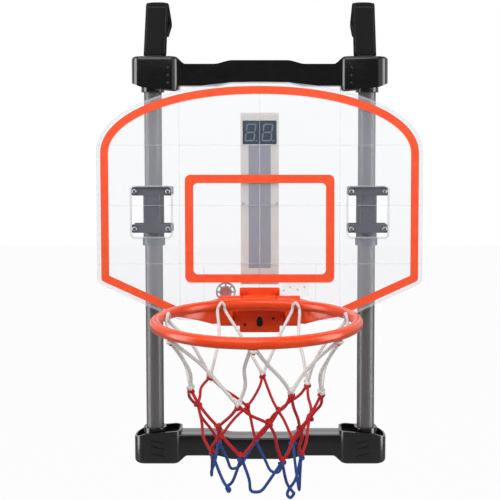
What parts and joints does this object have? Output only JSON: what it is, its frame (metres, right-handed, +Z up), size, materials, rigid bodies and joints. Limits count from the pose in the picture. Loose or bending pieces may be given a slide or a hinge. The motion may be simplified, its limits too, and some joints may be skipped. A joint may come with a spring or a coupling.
{
  "type": "over-door basketball hoop",
  "caption": "Clear arched backboard with a folding orange rim, knotted net and score display, carried by clamps on a two-tube frame with padded over-door hooks.",
  "frame": {"origin": "on the door's top edge, midway between the two hooks, in the plane of the door's front face", "axes": "+X to the right as a player sees it, -Y towards the player, +Z up"},
  "size_m": [0.4, 0.3515, 0.5786],
  "materials": {
    "bright_steel": "zinc-plated steel",
    "spring_steel": "black-coated spring steel strip",
    "black_webbing": "sewn black padded webbing",
    "black_plastic": "gloss black moulded ABS",
    "tube_steel": "dark satin steel tube",
    "grey_plastic": "satin grey moulded plastic",
    "clear_plastic": "clear polycarbonate",
    "orange_plastic": "semi-gloss orange ABS",
    "white_cord": "braided polyester cord",
    "red_cord": "braided polyester cord",
    "blue_cord": "braided polyester cord",
    "case_plastic": "translucent beige ABS",
    "display_plastic": "smoked display block with two digits",
    "circuit_board": "green solder mask",
    "cell_sleeve": "foil-sleeved dry cell",
    "speaker_grey": "grey paper cone in a plastic frame"
  },
  "bodies": {
    "frame": {"bottom_bar_front": "black_plastic", "bottom_bar_rear": "black_plastic", "bottom_bar_screws_1": "bright_steel", "bottom_bar_screws_2": "bright_steel", "bottom_bar_screws_3": "bright_steel", "bottom_bar_screws_4": "bright_steel", "hook_pin_left": "bright_steel", "hook_pin_right": "bright_steel", "top_bar_front": "black_plastic", "top_bar_rear": "black_plastic", "top_bar_screws_1": "bright_steel", "top_bar_screws_2": "bright_steel", "top_bar_screws_3": "bright_steel", "top_bar_screws_4": "bright_steel", "tube_left": "tube_steel", "tube_right": "tube_steel"},
    "hook_left": {"door_hook_left": "spring_steel", "hook_pad_left": "black_webbing"},
    "hook_right": {"door_hook_right": "spring_steel", "hook_pad_right": "black_webbing"},
    "board": {"backboard": "clear_plastic", "battery_cell_1": "cell_sleeve", "battery_cell_2": "cell_sleeve", "battery_cell_3": "cell_sleeve", "battery_contact": "bright_steel", "battery_spring": "bright_steel", "bracket_screw_1": "bright_steel", "bracket_screw_2": "bright_steel", "bracket_screw_3": "bright_steel", "bracket_screw_4": "bright_steel", "case_cover": "case_plastic", "case_screw_1": "bright_steel", "case_screw_2": "bright_steel", "clamp_front_left": "grey_plastic", "clamp_front_right": "grey_plastic", "clamp_rear_left": "grey_plastic", "clamp_rear_right": "grey_plastic", "clamp_screws_left_1": "bright_steel", "clamp_screws_left_2": "bright_steel", "clamp_screws_left_3": "bright_steel", "clamp_screws_left_4": "bright_steel", "clamp_screws_right_1": "bright_steel", "clamp_screws_right_2": "bright_steel", "clamp_screws_right_3": "bright_steel", "clamp_screws_right_4": "bright_steel", "display_board": "circuit_board", "hinge_pin": "bright_steel", "hoop_bracket": "orange_plastic", "led_display": "display_plastic", "score_case": "case_plastic", "sensor_board": "circuit_board", "speaker": "speaker_grey", "speaker_retainer": "clear_plastic"},
    "rim": {"rim": "orange_plastic", "net_white": "white_cord", "net_red": "red_cord", "net_blue": "blue_cord"},
    "battery_door": {"battery_door": "case_plastic", "battery_door_screw": "bright_steel"},
    "power_switch": {"power_switch": "black_plastic"}
  },
  "joints": [
    {"name": "hook_tilt_left", "type": "hinge", "parent": "frame", "child": "hook_left", "pos_m": [-0.1305, -0.025, -0.0785], "axis": [1, 0, 0], "range_deg": [-5, 21]},
    {"name": "hook_tilt_right", "type": "hinge", "parent": "frame", "child": "hook_right", "pos_m": [0.1305, -0.025, -0.0785], "axis": [1, 0, 0], "range_deg": [-5, 21]},
    {"name": "board_height", "type": "slide", "parent": "frame", "child": "board", "axis": [0, 0, 1], "range_m": [-0.15, 0.03]},
    {"name": "rim_fold", "type": "hinge", "parent": "board", "child": "rim", "pos_m": [0, -0.0665, -0.3645], "axis": [-1, 0, 0], "range_deg": [0, 90]},
    {"name": "battery_door_hinge", "type": "hinge", "parent": "board", "child": "battery_door", "pos_m": [0, -0.0202, -0.1813], "axis": [1, 0, 0], "range_deg": [0, 100]},
    {"name": "power_switch_slide", "type": "slide", "parent": "board", "child": "power_switch", "axis": [1, 0, 0], "range_m": [0, 0.004]}
  ]
}
